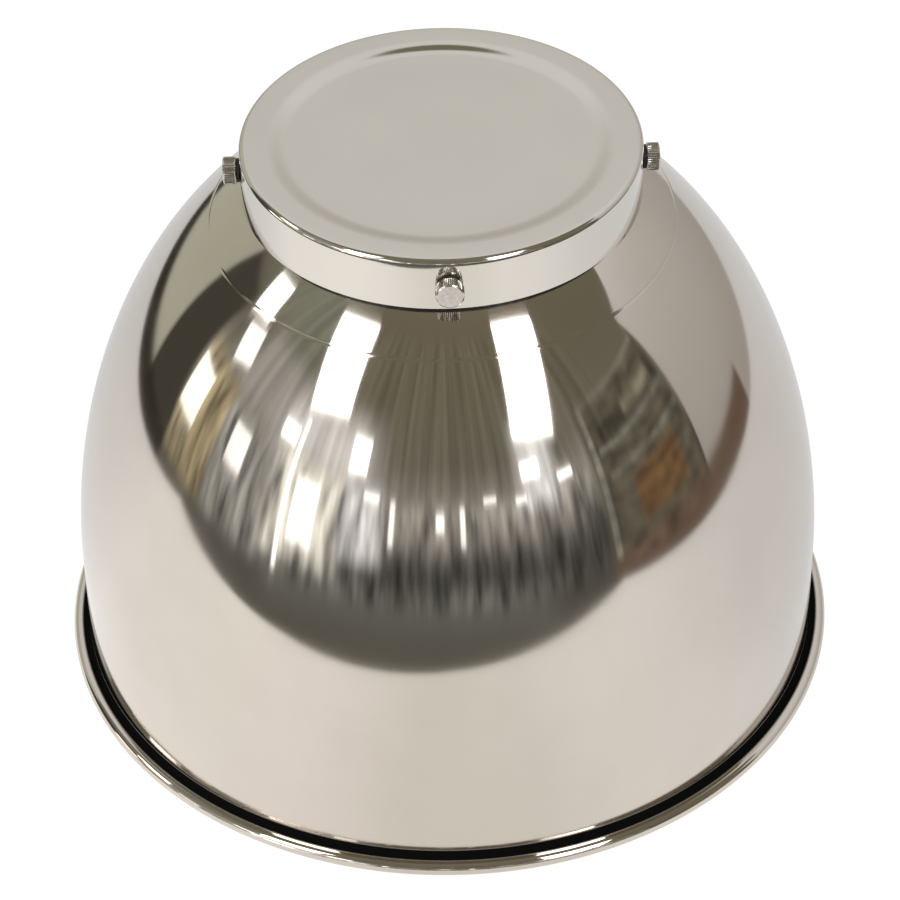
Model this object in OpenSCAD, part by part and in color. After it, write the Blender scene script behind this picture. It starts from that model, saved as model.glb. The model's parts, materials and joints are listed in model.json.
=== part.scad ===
// Livestock heat lamp fixture: a spun stainless shade that stands on its rolled rim,
// a pressed terminal cap held on its neck by four gallery screws, and, under the
// cap, a porcelain lamp holder that carries a reflector heat bulb.
// Millimetres, +Z up, origin at the centre of the rim's rest plane.

/* [Shade] */
// Outside diameter of the rolled rim
rim_d = 250; // [200:1:300]
// Diameter of the bead that is rolled along the rim
bead_d = 4.6; // [3.6:0.1:6]
// Distance from the wall's outer face to the middle of the bead
rim_flare = 3.1; // [2.8:0.1:6]
// Sheet thickness of the shade
shade_t = 0.8; // [0.5:0.1:1.1]
// Height of the straight wall above the rest plane
wall_h = 36; // [20:1:60]
// Height of the shoulder where it meets the neck
shoulder_h = 173.2; // [160:0.2:230]
// Slope of the shoulder below the horizontal, in degrees
shoulder_slope = 33.5; // [25:0.5:40]
// Outside diameter of the upright neck
neck_d = 112.4; // [92:0.1:136]
// Height of the neck above the shoulder
neck_h = 11.8; // [10:0.2:14]

/* [Cap] */
// Space between the neck and the inside of the cap's skirt
cap_gap = 4; // [3.6:0.1:6]
// Height of the cap above the shoulder
cap_rise = 16.8; // [16:0.1:24]
// Sheet thickness of the cap
cap_t = 0.8; // [0.5:0.1:1.2]
// Outside radius of the cap's edge
cap_edge_r = 1.8; // [1.4:0.1:3]
// Depth of the recess pressed into the cap
recess_depth = 1.2; // [0.6:0.1:2]
// Width of the flat ring and rounded edge outside the recess
cap_ring_w = 8; // [5:0.5:16]
// Width of the sloping wall of the recess
recess_slope_w = 6.5; // [3:0.5:9]
// Height of the skirt's bottom edge below the shoulder's top
skirt_drop = 0.3; // [0:0.1:1]

/* [Gallery screws] */
// Number of gallery screws around the cap
gallery_n = 4; // [4]
// Diameter of the head
head_d = 8.5; // [7:0.5:9]
// Length of the head
head_l = 4; // [3:0.5:6]
// Length of the plain neck between head and skirt, where the washer sits
screw_neck_l = 1; // [0.5:0.1:2]
// Diameter of the thread
screw_d = 5; // [4:0.5:6]
// Height of the screws above the skirt's bottom edge
screw_rise = 8.1; // [7.4:0.1:9]
// Number of flutes of the knurled head
knurl_n = 36; // [24:2:48]

/* [Cable entry] */
// Direction of the cable entry, in degrees round the cap
entry_angle = 135; // [130:1:140]
// Diameter of the cable hole in the grommet
cable_d = 7.5; // [6:0.5:8]
// Diameter of the hole in the skirt that holds the grommet
grommet_hole_d = 12; // [11:0.5:12.5]

/* [Lamp holder] */
// Outside diameter of the porcelain body
holder_d = 45; // [42:0.5:56]
// Height of the porcelain body
holder_h = 47.5; // [45:0.5:60]
// Inside diameter of the metal screw shell
shell_d = 27; // [26.8:0.1:28]

/* [Bulb] */
// Diameter of the reflector bulb
bulb_d = 121; // [95:1:130]
// Overall length of the bulb
bulb_l = 136; // [125:1:140]
// Diameter of the bulb's screw base
base_d = 26.2; // [26:0.1:26.4]

/* [Hidden] */

round_fn = 96;
eps = 0.05; // gap between round faces that rest against each other

// Shade
rim_r = rim_d / 2;
bead_r = bead_d / 2;
bead_step = 15;
bead_z = bead_r * cos(bead_step / 2); // puts the bead's lowest facet on the rest plane
bead_c = rim_r - bead_r;
wall_r = bead_c - rim_flare;
rim_fillet_r = 1.8;
bead_turn = 255; // how far the sheet is rolled round, in degrees
neck_r = neck_d / 2;
neck_in_r = neck_r - shade_t;
neck_top = shoulder_h + neck_h;
neck_fillet_r = 2;
foot_r = neck_r + neck_fillet_r * (1 - sin(shoulder_slope));
foot_z = shoulder_h;
fillet_top = foot_z + neck_fillet_r * cos(shoulder_slope);
dome_steps = 40;
shoulder_pull = 0.345; // length of the curve's handle at the shoulder, over its span
wall_pull = 0.334; // length of the curve's handle at the wall, over its span

// Cap
cap_in_r = neck_r + cap_gap;
cap_r = cap_in_r + cap_t;
cap_top = shoulder_h + cap_rise;
skirt_z = shoulder_h - skirt_drop;
recess_r = cap_r - cap_ring_w - recess_slope_w;
gasket_w = 2;

// Gallery screws
screw_z = skirt_z + screw_rise;
screw_r = screw_d / 2;
head_r = head_d / 2;
head_x = cap_r + screw_neck_l;
head_chamfer = 0.35;
knurl_depth = 0.22;
washer_r = head_r - 0.6;
skirt_nut_t = 2.6;
skirt_nut_af = 8;
skirt_nut_sink = sqrt(pow(cap_in_r, 2) - pow(skirt_nut_af / 2 / cos(30), 2)); // nut's face clears the curve
skirt_nut_x = skirt_nut_sink - eps;

// Cable entry
cable_r = cable_d / 2;
grommet_hole_r = grommet_hole_d / 2;
grommet_flange_r = grommet_hole_r + 1.2;
grommet_out_t = 2.2;
grommet_in_t = 2;
grommet_in_x = sqrt(pow(cap_in_r, 2) - pow(grommet_flange_r, 2)) - eps;
notch_w = cable_d + 3;
notch_drop = 1.5; // slot's floor below the cable

// Mounting plate
plate_t = 1.2;
plate_z = shoulder_h;
plate_top = plate_z + plate_t;
plate_r = neck_in_r - eps;
plate_flange_top = neck_top - 3;
plate_bend_r = 2.2;
rivet_angle = 22.5;
rivet_n = 4;
rivet_r = 1.6;
rivet_z = plate_z + 5.8;

// Lamp holder
holder_r = holder_d / 2;
holder_top = plate_z;
holder_z = holder_top - holder_h;
shell_r = shell_d / 2;
shell_t = 0.5;
bore_r = shell_r + shell_t + 0.25;
bore_h = 30;
bore_top = holder_z + bore_h;
shell_z = holder_z + 1.8;
shell_top = bore_top - 2.2;
tab_w = 6;
tab_t = 0.6;
tab_x = shell_r + shell_t - tab_t;
slot_w = 9;
slot_h = 11.5;
slot_x = 10;
slot_z = holder_top - slot_h;
post_w = 7;
post_h = 8;
post_x = bore_r + 0.3;
post_l = holder_r - post_x - 1.4;
post_z = slot_z + tab_t;
post_mid_x = post_x + post_l / 2;
m4_r = 2;
m4_hole_r = 2.2;
m4_head_r = 3.9;
m4_head_h = 2.4;
m4_af = 7;
m4_nut_h = 3.2;
holder_screw_y = 13;
holder_nut_z = holder_top - 9;
nut_play = 0.2; // round a nut in its pocket
holder_screw_end = holder_nut_z - 1;

// Bulb: heights run down from the tip
tip_h = 0.9;
tip_r = 3;
contact_gap = 0.1;
bulb_top = holder_z + 26;
base_r = base_d / 2;
base_t = 0.4;
base_h = 24;
base_top = bulb_top - tip_h - 1.6;
base_z = base_top - base_h;
glass_t = 1.6;
bulb_r = bulb_d / 2;
bulb_neck_r = base_r + 1.2;
bulb_rim_z = bulb_top - bulb_l + 25;
bulb_rim_h = 3.2;
bulb_end_z = bulb_top - bulb_l;
bulb_neck_z = base_z - 5;
filament_z = bulb_rim_z + 34;
filament_l = 24;

// Terminal block, on the plate in front of the holder, with room for a lead round its outer side
block_w = 36;
block_d = 16;
block_h = 11.6;
lead_share = 0.1411; // room for a lead at the block's outer side, over the radius of the plate's flat
lead_room = lead_share * (plate_r - plate_bend_r);
block_y = block_d / 2 + lead_room - sqrt(pow(plate_r - plate_bend_r, 2) - pow(block_w / 2, 2));
pole_pitch = 11;
pole_r = 2.3;
pole_z = plate_top + 4.4;
block_screw_x = pole_pitch / 2;
clamp_y = 4.6;
m3_r = 1.5;
m3_hole_r = 1.7;
m3_head_r = 2.8;
m3_head_h = 1.9;
m3_af = 5.5;
m3_nut_h = 2.2;

// Cord clamp, in line with the cable entry
clamp_at = plate_r - plate_bend_r - 12;
clamp_w = 8;
clamp_t = 1.2;
clamp_in_r = cable_r + 0.1;
clamp_foot = 9;
clamp_screw_at = clamp_in_r + clamp_t + clamp_foot / 2 - 0.3;

// Earth point
earth_at = (plate_r - plate_bend_r - 17) * [cos(20), sin(20)];
tag_t = 0.8;
tag_r = 4.2;
washer_t = 0.8;

// Leads: centre lines from the block to the holder, under the cap
lead_r = 1.1;
lead_sides = 10;
lead_z = plate_top + 4.4;
bush_r = 3;
bush_rim = 0.9;
bush_hole_r = lead_r + 0.35;
post_in_z = post_z + post_h - 4; // how deep a lead's end sits in its terminal
block_face = block_y + block_d / 2;
lead_end_y = block_face - 3;

function mid(a, b) = (a + b) / 2;
function bezier(p, t) = pow(1 - t, 3) * p[0] + 3 * pow(1 - t, 2) * t * p[1]
  + 3 * (1 - t) * t * t * p[2] + pow(t, 3) * p[3];
function arc(c, r, from, to, n) = [for (i = [0 : n]) let (a = from + (to - from) * i / n)
  c + r * [cos(a), sin(a)]];
function unit(v) = v / norm(v);
// Direction along a path at its point i
function heading(p, i) = unit(p[min(i + 1, len(p) - 1)] - p[max(i - 1, 0)]);
// The path moved to its right by t: the hidden face of a sheet whose outer face is the path
function beside(p, t) = [for (i = [0 : len(p) - 1]) let (d = heading(p, i)) p[i] + t * [d[1], -d[0]]];
// Eased step from 0 to 1, for the wall of the recess
function ease(u) = (1 - cos(180 * u)) / 2;

// A sheet of thickness t turned about Z, whose outer face follows the path
module turned_sheet(path, t) {
  hidden = beside(path, t);
  rotate_extrude($fn = round_fn)
    polygon([each path, each [for (i = [len(hidden) - 1 : -1 : 0]) hidden[i]]]);
}

// Turned solid from a closed outline of [radius, height] points
module turned(outline) {
  rotate_extrude($fn = round_fn) polygon(outline);
}

module rod(r, h, z = 0) {
  translate([0, 0, z]) cylinder(r = r, h = h, $fn = 48);
}

// Rod along +X from x to x + h
module rod_x(r, x, h) {
  translate([x, 0, 0]) rotate([0, 90, 0]) cylinder(r = r, h = h, $fn = 48);
}

module hex_nut(af, r, h) {
  difference() {
    cylinder(r = af / 2 / cos(30), h = h, $fn = 6);
    translate([0, 0, -1]) cylinder(r = r, h = h + 2, $fn = 48);
  }
}

// Pan-head screw hanging from z = 0: head above, shank below, with a cross slot
module pan_screw(r, l, head_r, head_h) {
  slot = head_r * 0.3;
  difference() {
    union() {
      turned([[0, 0], [head_r, 0], [head_r, head_h * 0.45], [head_r * 0.86, head_h * 0.8],
        [head_r * 0.6, head_h], [0, head_h]]);
      rod(r, l + 0.01, -l);
    }
    translate([-head_r * 0.6, -slot / 2, head_h * 0.5]) cube([head_r * 1.2, slot, head_h]);
    translate([-slot / 2, -head_r * 0.6, head_h * 0.5]) cube([slot, head_r * 1.2, head_h]);
  }
}

module around(n, first = 0) {
  for (i = [0 : n - 1]) rotate([0, 0, first + 360 * i / n]) children();
}

// Round tube swept along points, closed at both ends
module swept(points, r, sides = lead_sides) {
  n = len(points);
  dirs = [for (i = [0 : n - 1]) unit(points[min(i + 1, n - 1)] - points[max(i - 1, 0)])];
  first = abs(dirs[0][2]) < 0.9 ? [0, 0, 1] : [0, 1, 0];
  sides_of = [for (i = 0, u = unit(cross(dirs[0], first)); i < n; i = i + 1,
    u = i < n ? unit(u - (u * dirs[i]) * dirs[i]) : u) u];
  ring = [for (i = [0 : n - 1]) let (u = sides_of[i], v = cross(dirs[i], u)) for (k = [0 : sides - 1])
    points[i] + r * (cos(360 * k / sides) * u + sin(360 * k / sides) * v)];
  faces = [
    [for (k = [0 : sides - 1]) k],
    [for (k = [sides - 1 : -1 : 0]) (n - 1) * sides + k],
    for (i = [0 : n - 2]) for (k = [0 : sides - 1]) let (j = (k + 1) % sides)
      [i * sides + j, i * sides + k, (i + 1) * sides + k, (i + 1) * sides + j]];
  polyhedron(ring, faces, convexity = 4);
}

// Smooth curve through points, for a lead
function spline(p, steps) = [
  for (i = [0 : len(p) - 2]) for (s = [0 : steps - 1]) let (t = s / steps,
    a = p[max(i - 1, 0)], b = p[i], c = p[i + 1], d = p[min(i + 2, len(p) - 1)])
    0.5 * (2 * b + (c - a) * t + (2 * a - 5 * b + 4 * c - d) * t * t
      + (3 * b - a - 3 * c + d) * pow(t, 3)),
  p[len(p) - 1]];

// Radial hole through a wall whose inside is at radius x
module drilling(r, x) {
  rod_x(r, x - 4, 8);
}

// Open-topped slot for the cable, through an upright wall at radius x
module entry_notch(x) {
  rotate([0, 0, entry_angle]) translate([x - 4, -notch_w / 2, screw_z - cable_r - notch_drop])
    cube([8, notch_w, neck_top]);
}

// ---- Shade ----

function shade_path() = let (
    span = norm([wall_r - foot_r, foot_z - wall_h]),
    dome = [[foot_r, foot_z],
      [foot_r, foot_z] + shoulder_pull * span * [cos(shoulder_slope), -sin(shoulder_slope)],
      [wall_r, wall_h + wall_pull * span], [wall_r, wall_h]],
    bead_top = bead_z + bead_r)
  [[neck_r, neck_top],
    each arc([neck_r + neck_fillet_r, fillet_top], neck_fillet_r, 180, 270 - shoulder_slope, 8),
    each [for (i = [1 : dome_steps]) bezier(dome, i / dome_steps)],
    each arc([wall_r + rim_fillet_r, bead_top + rim_fillet_r], rim_fillet_r, 180, 270, 6),
    each [for (a = [90 - bead_step / 2 : -bead_step : 90 - bead_turn])
      [bead_c, bead_z] + bead_r * [cos(a), sin(a)]]];

module shade() color([0.84, 0.83, 0.81]) difference() {
  turned_sheet(shade_path(), shade_t);
  entry_notch(neck_in_r);
  around(rivet_n, rivet_angle) translate([0, 0, rivet_z]) drilling(rivet_r + eps, neck_in_r);
}

// ---- Cap ----

function cap_path() = let (floor_z = cap_top - recess_depth)
  [[0, floor_z],
    each [for (i = [0 : 8]) [recess_r + recess_slope_w * i / 8, floor_z + recess_depth * ease(i / 8)]],
    each arc([cap_r - cap_edge_r, cap_top - cap_edge_r], cap_edge_r, 90, 0, 8),
    [cap_r, skirt_z]];

module terminal_cap() color([0.8, 0.79, 0.77]) difference() {
  turned_sheet(cap_path(), cap_t);
  around(gallery_n) translate([0, 0, screw_z]) drilling(screw_r + 0.25, cap_in_r);
  rotate([0, 0, entry_angle]) translate([0, 0, screw_z]) drilling(grommet_hole_r, cap_in_r);
}

// Just above the shoulder's tangent at radius r, so the gasket never cuts into the curved sheet
function seat(r) = foot_z - (r - foot_r) * tan(shoulder_slope) + eps;

module cap_gasket() color([0.08, 0.08, 0.08]) {
  out_r = cap_r - 0.2;
  in_r = out_r - gasket_w;
  turned([[in_r, seat(in_r)], [out_r, seat(out_r)], [out_r, skirt_z], [in_r, skirt_z]]);
}

module skirt_nuts() color([0.7, 0.7, 0.7]) around(gallery_n)
  translate([skirt_nut_x - skirt_nut_t, 0, screw_z]) rotate([0, 90, 0])
    hex_nut(skirt_nut_af, screw_r + eps, skirt_nut_t);

module at_screw(i) rotate([0, 0, 360 * i / gallery_n]) translate([0, 0, screw_z]) children();

// Knurled screw whose tip bears on the neck
module gallery_screw(i) color([0.75, 0.74, 0.72]) at_screw(i) {
  knurl = [for (k = [0 : 2 * knurl_n - 1])
    (head_r - (k % 2) * knurl_depth) * [cos(180 * k / knurl_n), sin(180 * k / knurl_n)]];
  union() {
    rod_x(screw_r, neck_r + eps, head_x - neck_r);
    rod_x(head_r - head_chamfer, head_x, head_l);
    translate([head_x + head_chamfer, 0, 0]) rotate([0, 90, 0])
      linear_extrude(head_l - 2 * head_chamfer) polygon(knurl);
  }
}

// Captive on the screw's neck: it follows the screw in and out but doesn't turn
module screw_washer(i) color([0.07, 0.07, 0.07]) at_screw(i) difference() {
  rod_x(washer_r, cap_r + eps, screw_neck_l - 2 * eps);
  rod_x(screw_r + 0.1, cap_r - 1, screw_neck_l + 2);
}

module cable_grommet() color([0.06, 0.06, 0.06]) rotate([0, 0, entry_angle])
  translate([0, 0, screw_z]) difference() {
    union() {
      rod_x(grommet_flange_r, cap_r + eps, grommet_out_t);
      rod_x(grommet_hole_r - eps, grommet_in_x - 0.01, cap_r + 2 * eps - grommet_in_x + 0.01);
      rod_x(grommet_flange_r, grommet_in_x - grommet_in_t, grommet_in_t);
    }
    rod_x(cable_r, grommet_in_x - grommet_in_t - 1, 20);
  }

// ---- Mounting plate ----

function plate_path() = [[plate_r, plate_flange_top],
  each [for (p = arc([plate_r - plate_bend_r, plate_z + plate_bend_r], plate_bend_r, 0, -90, 6)) p],
  [0, plate_z]];

// Where the two leads go down to the lamp holder
module lead_holes(r) for (s = [-1, 1])
  translate([s * post_mid_x, 0, plate_z - 1]) cylinder(r = r, h = plate_t + 2, $fn = 48);

module mounting_plate() color([0.62, 0.62, 0.62]) difference() {
  turned_sheet(plate_path(), plate_t);
  lead_holes(bush_r + eps);
  for (s = [-1, 1]) {
    translate([0, s * holder_screw_y, 0]) rod(m4_hole_r, 4, plate_z - 1);
    translate([s * block_screw_x, block_y, 0]) rod(m3_hole_r, 4, plate_z - 1);
    rotate([0, 0, entry_angle]) translate([clamp_at, s * clamp_screw_at, 0])
      rod(m3_hole_r, 4, plate_z - 1);
  }
  translate([earth_at[0], earth_at[1], 0]) rod(m4_hole_r, 4, plate_z - 1);
  entry_notch(plate_r);
  around(rivet_n, rivet_angle) translate([0, 0, rivet_z]) drilling(rivet_r + eps, plate_r - plate_t);
}

module plate_rivets() color([0.72, 0.72, 0.72]) around(rivet_n, rivet_angle)
  translate([0, 0, rivet_z]) rotate([0, 90, 0]) turned([
    [0, plate_r - plate_t - 1.1], [2.4, plate_r - plate_t - 1.1], [2.7, plate_r - plate_t - 0.1 - eps],
    [rivet_r, plate_r - plate_t - 0.1 - eps], [rivet_r, neck_r + eps], [3.1, neck_r + eps],
    [2.8, neck_r + 0.7], [1.6, neck_r + 1.15], [0, neck_r + 1.2]]);

// Ceramic bushes that carry the leads through the plate
module lead_bushes() color([0.9, 0.88, 0.82]) for (s = [-1, 1])
  translate([s * post_mid_x, 0, 0]) turned([[bush_hole_r, plate_z + eps], [bush_r, plate_z + eps],
    [bush_r, plate_top + eps], [bush_r + bush_rim, plate_top + eps], [bush_r + bush_rim, plate_top + 1.4],
    [bush_r + 0.4, plate_top + 2], [bush_hole_r, plate_top + 2]]);

// ---- Lamp holder ----

module lamp_holder() color([0.93, 0.92, 0.88]) difference() {
  lip = 1.2;
  turned([[bore_r, holder_z + 0.6], [bore_r + 0.6, holder_z], [holder_r - lip, holder_z],
    [holder_r - 0.35 * lip, holder_z + 0.35 * lip], [holder_r, holder_z + lip],
    [holder_r, bore_top - 6], [holder_r - 1.6, bore_top - 4], [holder_r - 1.6, holder_top - 0.8],
    [holder_r - 2.4, holder_top], [0, holder_top], [0, bore_top], [bore_r, bore_top]]);
  for (s = [-1, 1]) {
    translate([s > 0 ? slot_x : -slot_x - holder_r, -slot_w / 2, slot_z])
      cube([holder_r, slot_w, slot_h + 1]);
    translate([s > 0 ? tab_x - 0.2 : -tab_x - tab_t - 0.2, -tab_w / 2 - 0.3, shell_top - 5])
      cube([tab_t + 0.4, tab_w + 0.6, slot_z - shell_top + 6]);
    translate([0, s * holder_screw_y, 0]) rod(m4_hole_r, holder_top - holder_screw_end + 1.5,
      holder_screw_end - 0.5);
    rotate([0, 0, s > 0 ? 0 : 180]) translate([-m4_af / 2 - nut_play, holder_screw_y - m4_af * 0.62,
      holder_nut_z - nut_play]) cube([m4_af + 2 * nut_play, holder_r, m4_nut_h + 2 * nut_play]);
  }
}

// The shell's tab turns out under the terminal post on the +X side
module screw_shell() color([0.78, 0.72, 0.5]) union() {
  turned([[shell_r, shell_z], [shell_r + shell_t, shell_z], [shell_r + shell_t, shell_top],
    [shell_r, shell_top]]);
  translate([tab_x, -tab_w / 2, shell_top - 4]) cube([tab_t, tab_w, slot_z + tab_t - shell_top + 4]);
  translate([tab_x, -tab_w / 2, slot_z]) cube([post_x + post_l - tab_x, tab_w, tab_t]);
}

// Sprung tongue from the -X terminal down to the bulb's tip
module centre_contact() color([0.8, 0.6, 0.35]) {
  tongue_z = bulb_top + contact_gap;
  rise = bore_top - 0.9;
  outline = [[-post_x - post_l, slot_z], [-tab_x - tab_t, slot_z], [-tab_x - tab_t, rise],
    [-8, rise], [-3.4, tongue_z], [3.4, tongue_z], [5, tongue_z + 1.4]];
  translate([0, 3, 0]) rotate([90, 0, 0]) linear_extrude(6)
    polygon([each outline, [4.5, tongue_z + 1.8], [3, tongue_z + tab_t], [-3.1, tongue_z + tab_t],
      [-7.7, rise + tab_t], [-tab_x, rise + tab_t], [-tab_x, slot_z + tab_t],
      [-post_x - post_l, slot_z + tab_t]]);
}

module at_terminals() for (s = [0, 180]) rotate([0, 0, s]) children();

module holder_terminals() color([0.83, 0.68, 0.35]) at_terminals() difference() {
  translate([post_x, -post_w / 2, post_z]) cube([post_l, post_w, post_h]);
  translate([post_mid_x, 0, 0]) rod(bush_hole_r, 10, post_in_z - 0.1);
  translate([0, 0, post_z + 4.2]) rod_x(m3_r - 0.2, post_mid_x, 12);
}

module holder_terminal_screws() color([0.7, 0.66, 0.5]) at_terminals()
  translate([0, 0, post_z + 4.2]) difference() {
    union() {
      rod_x(m3_r - 0.25, post_mid_x + bush_hole_r + 0.1, post_x + post_l - post_mid_x - bush_hole_r);
      rod_x(2, post_x + post_l, 1.2);
    }
    translate([post_x + post_l + 0.7, -3, -0.35]) cube([1, 6, 0.7]);
  }

module holder_screws() color([0.74, 0.74, 0.74]) for (s = [-1, 1])
  translate([0, s * holder_screw_y, plate_top])
    pan_screw(m4_r, plate_top - holder_screw_end, m4_head_r, m4_head_h);

module holder_nuts() color([0.7, 0.7, 0.7]) for (s = [-1, 1])
  translate([0, s * holder_screw_y, holder_nut_z]) rotate([0, 0, 30]) hex_nut(m4_af, m4_r + eps, m4_nut_h);

// ---- Terminal block ----

module at_poles() for (i = [-1 : 1]) translate([i * pole_pitch, block_y, pole_z]) children();

module rod_y(r, l) {
  rotate([90, 0, 0]) cylinder(r = r, h = l, center = true, $fn = 48);
}

module terminal_block() color([0.94, 0.93, 0.9]) difference() {
  translate([-block_w / 2, block_y - block_d / 2, plate_top]) union() {
    cube([block_w, block_d, block_h - 3]);
    for (i = [0 : 2]) translate([block_w / 2 - 3.6 + (i - 1) * pole_pitch, 1, 0])
      cube([7.2, block_d - 2, block_h]);
  }
  at_poles() {
    rod_y(pole_r + eps, block_d + 2);
    for (s = [-1, 1]) translate([0, s * clamp_y, 0]) cylinder(r = 1.9, h = block_h, $fn = 48);
  }
  for (s = [-1, 1]) translate([s * block_screw_x, block_y, 0]) {
    rod(m3_hole_r, block_h + 2, plate_top - 1);
    rod(m3_head_r + 0.3, block_h, plate_top + 5);
  }
}

module block_inserts() color([0.83, 0.68, 0.35]) at_poles() difference() {
  rod_y(pole_r, block_d - 3);
  rod_y(bush_hole_r, block_d);
  for (s = [-1, 1]) translate([0, s * clamp_y, 0]) cylinder(r = m3_r - 0.2, h = 5, $fn = 48);
}

module block_clamp_screws() color([0.75, 0.7, 0.5]) at_poles() for (s = [-1, 1])
  translate([0, s * clamp_y, lead_r + 0.15]) difference() {
    union() {
      rod(m3_r - 0.25, 3);
      rod(1.7, 2.2, 2.4);
    }
    translate([-2, -0.3, 4]) cube([4, 0.6, 1]);
  }

module block_screws() color([0.74, 0.74, 0.74]) for (s = [-1, 1])
  translate([s * block_screw_x, block_y, plate_top + 5])
    pan_screw(m3_r, plate_t + 5 + m3_nut_h + 1, m3_head_r, m3_head_h);

module block_nuts() color([0.7, 0.7, 0.7]) for (s = [-1, 1])
  translate([s * block_screw_x, block_y, plate_z - m3_nut_h]) hex_nut(m3_af, m3_r + eps, m3_nut_h);

// ---- Cord clamp ----

module at_clamp() rotate([0, 0, entry_angle]) translate([clamp_at, 0, 0]) children();

// The saddle's arch stands over the cable, so its feet are flat on the plate
module cord_clamp() color([0.72, 0.72, 0.72]) at_clamp() {
  out_r = clamp_in_r + clamp_t;
  axis_z = clamp_in_r + 0.2;
  difference() {
    translate([-clamp_w / 2, 0, plate_top]) rotate([90, 0, 90]) linear_extrude(clamp_w) difference() {
      union() {
        translate([0, axis_z]) circle(r = out_r, $fn = 64);
        translate([-out_r, 0]) square([2 * out_r, axis_z]);
        translate([-out_r - clamp_foot + 1, 0]) square([2 * (out_r + clamp_foot - 1), clamp_t]);
      }
      translate([0, axis_z]) circle(r = clamp_in_r, $fn = 64);
      translate([-clamp_in_r, -1]) square([2 * clamp_in_r, axis_z + 1]);
      translate([-out_r, -2 * out_r]) square([2 * out_r, 2 * out_r]);
    }
    for (s = [-1, 1]) translate([0, s * clamp_screw_at, 0]) rod(m3_hole_r, 4, plate_top - 1);
  }
}

module clamp_screws() color([0.74, 0.74, 0.74]) at_clamp() for (s = [-1, 1])
  translate([0, s * clamp_screw_at, plate_top + clamp_t])
    pan_screw(m3_r, clamp_t + plate_t + m3_nut_h + 1, m3_head_r, m3_head_h);

module clamp_nuts() color([0.7, 0.7, 0.7]) at_clamp() for (s = [-1, 1])
  translate([0, s * clamp_screw_at, plate_z - m3_nut_h]) hex_nut(m3_af, m3_r + eps, m3_nut_h);

// ---- Earth point ----

module at_earth(z) translate([earth_at[0], earth_at[1], z]) children();

module earth_screw() color([0.74, 0.74, 0.74]) at_earth(plate_z) rotate([180, 0, 0])
  pan_screw(m4_r, plate_t + washer_t + tag_t + m4_nut_h + 1, m4_head_r, m4_head_h);

module earth_washer() color([0.66, 0.66, 0.66]) at_earth(plate_top) difference() {
  union() {
    rod(3.4, washer_t);
    around(10) translate([3.2, -0.45, 0]) cube([1, 0.9, washer_t]);
  }
  rod(m4_hole_r, 3, -1);
}

module earth_tag() color([0.85, 0.8, 0.6]) at_earth(plate_top + washer_t) difference() {
  union() {
    rod(tag_r, tag_t);
    translate([-1.6, -9, 0]) cube([3.2, 9, tag_t]);
    translate([0, -9, lead_r + 0.3]) rod_y(lead_r + 0.75, 6);
  }
  rod(m4_hole_r, 3, -1);
  translate([0, -10.5, lead_r + 0.3]) rod_y(lead_r + 0.15, 6);
}

module earth_nut() color([0.7, 0.7, 0.7]) at_earth(plate_top + washer_t + tag_t)
  hex_nut(m4_af, m4_r + eps, m4_nut_h);

// ---- Leads ----

// From a pole of the block to a post of the holder: side is -1 for live, 1 for neutral
module holder_lead(side) {
  x0 = side * pole_pitch;
  x1 = side * post_mid_x;
  route = [[x0, lead_end_y, lead_z], [x0, block_face + 2, lead_z],
    [x0 + side * 2, block_face + 9, lead_z + 1.4], [mid(x0, x1) + side * 3, -9, plate_top + 7],
    [x1, -2.6, plate_top + 6.8], [x1, 0, plate_top + 4], [x1, 0, plate_top + 1], [x1, 0, post_in_z]];
  swept(spline(route, 5), lead_r);
}

module live_lead() color([0.55, 0.3, 0.15]) holder_lead(-1);

module neutral_lead() color([0.2, 0.35, 0.65]) holder_lead(1);

// The earth lead comes off the block's outer side and loops round to the tag
module earth_lead() color([0.3, 0.6, 0.25]) {
  face = block_y - block_d / 2;
  end = block_w / 2;
  tag = [earth_at[0], earth_at[1] - 12, plate_top + washer_t + lead_r + 0.3];
  route = [[0, face + 3, lead_z], [0, face - 1.6, lead_z], [4, face - 4.4, lead_z],
    [end - 4, face - 4.4, lead_z], [end + 4.5, face + 0.5, lead_z], [end + 11, block_y + 5, lead_z],
    [tag[0], tag[1] - 7, tag[2] + 0.4], tag - [0, 1.5, 0], tag + [0, 2, 0]];
  swept(spline(route, 5), lead_r);
}

// ---- Bulb ----

// Outer face of the glass from the neck down to the rim, through the reflector's curve
function glass_path() = let (
    start = [bulb_neck_r, bulb_neck_z - 3], end = [bulb_r, bulb_rim_z + bulb_rim_h],
    bowl = [start, start - [0, 9], [mid(start[0], end[0]) + 14, mid(start[1], end[1]) + 12], end])
  [[bulb_neck_r, base_z - 0.8], each [for (i = [0 : 24]) bezier(bowl, i / 24)], [bulb_r, bulb_rim_z]];

module bulb_reflector() color([0.75, 0.75, 0.76]) turned_sheet(glass_path(), glass_t);

// Domed front glass, ground to the rim of the reflector
module bulb_lens() color([0.6, 0.05, 0.04]) {
  rise = bulb_rim_z - bulb_end_z;
  edge = 4;
  chord = bulb_r - 0.8;
  ball_r = (pow(chord, 2) + pow(rise - edge, 2)) / 2 / (rise - edge);
  half = asin(chord / ball_r);
  centre = [0, bulb_end_z + ball_r];
  outside = arc(centre, ball_r, -90, -90 + half, 24);
  inside = arc(centre, ball_r - 2.2, -90 + half - 1.6, -90, 24);
  turned([each outside, [bulb_r, bulb_rim_z - edge + 1.2], [bulb_r, bulb_rim_z - eps],
    [bulb_r - 3, bulb_rim_z - eps], each inside]);
}

module bulb_base() color([0.8, 0.76, 0.62]) turned([[base_r - base_t, base_z], [base_r, base_z],
  [base_r, base_top - 2.5], [base_r - 3.5, base_top], [base_r - 3.5 - base_t, base_top],
  [base_r - base_t, base_top - 2.9]]);

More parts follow.
